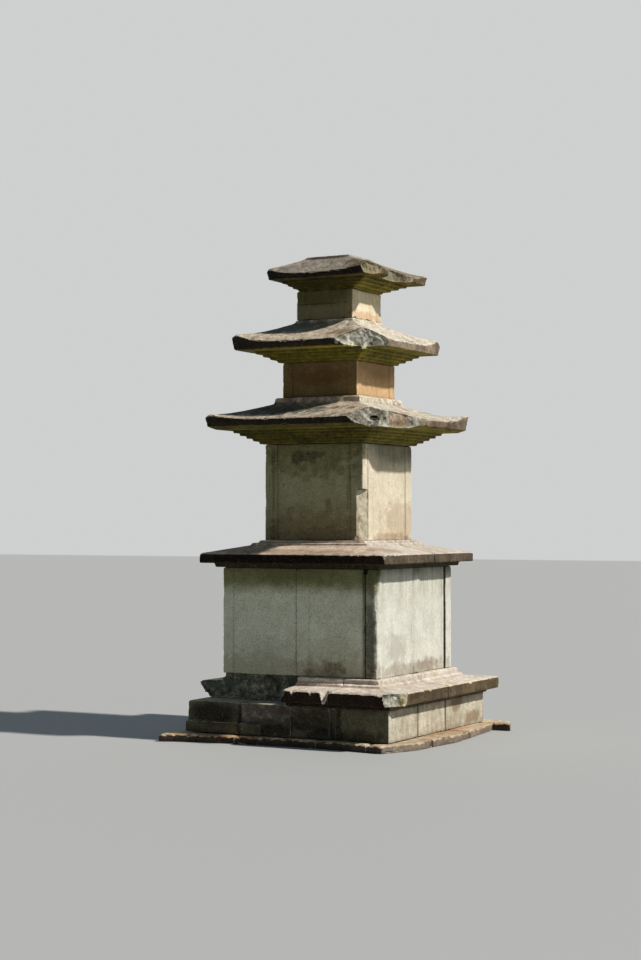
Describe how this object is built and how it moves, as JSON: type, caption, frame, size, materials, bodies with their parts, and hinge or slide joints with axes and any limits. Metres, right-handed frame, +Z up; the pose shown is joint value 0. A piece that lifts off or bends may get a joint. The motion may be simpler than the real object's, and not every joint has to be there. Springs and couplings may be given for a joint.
{
  "type": "stone pagoda",
  "caption": "Weathered granite pagoda with a stepped slab-built base, square storey bodies and upturned roof stones on bracket tiers, a free-standing outdoor landmark.",
  "frame": {"origin": "on the ground at the middle of the foundation's outline, below the centre of the base", "axes": "+Z up; -Y is the front, the wide face in the picture; +X is the right side, the sunlit face; +Y is the back"},
  "size_m": [2.14, 2.132, 3.612],
  "materials": {
    "foundation_stone": "rough, soiled, half buried granite",
    "base_stone": "dark stained, weathered granite",
    "cap_stone": "weathered granite with brown lichen on top and edges",
    "slab_stone": "smooth-worn grey-green granite with water streaks",
    "body_stone": "cream granite, stained dark towards the foot",
    "warm_body_stone": "ochre-toned granite",
    "roof_stone": "grey weathered granite with olive undersides"
  },
  "bodies": {
    "root": {"base_back_left": "base_stone", "base_back_left_corner": "base_stone", "base_back_right": "base_stone", "base_front_broken": "base_stone", "base_front_filler": "base_stone", "base_front_left_corner": "base_stone", "base_front_middle": "base_stone", "base_left_back": "base_stone", "base_left_front": "base_stone", "base_near_corner": "base_stone", "base_right_back_corner": "base_stone", "base_right_middle": "base_stone", "body_1": "body_stone", "body_2": "warm_body_stone", "body_3": "warm_body_stone", "foundation_back_left": "foundation_stone", "foundation_back_middle": "foundation_stone", "foundation_back_right": "foundation_stone", "foundation_corner_block": "foundation_stone", "foundation_front_left": "foundation_stone", "foundation_front_middle": "foundation_stone", "foundation_front_right": "foundation_stone", "foundation_left_back": "foundation_stone", "foundation_left_front": "foundation_stone", "foundation_near_corner": "foundation_stone", "foundation_right_back": "foundation_stone", "foundation_right_front": "foundation_stone", "lower_cap_back_left": "cap_stone", "lower_cap_back_middle": "cap_stone", "lower_cap_back_right": "cap_stone", "lower_cap_front_left": "cap_stone", "lower_cap_front_middle": "cap_stone", "lower_cap_near_corner": "cap_stone", "roof_1": "roof_stone", "roof_2": "roof_stone", "roof_3": "roof_stone", "upper_base_back": "slab_stone", "upper_base_front": "slab_stone", "upper_base_left": "slab_stone", "upper_base_right": "slab_stone", "upper_cap_back_left": "cap_stone", "upper_cap_back_right": "cap_stone", "upper_cap_front": "cap_stone"}
  },
  "joints": []
}
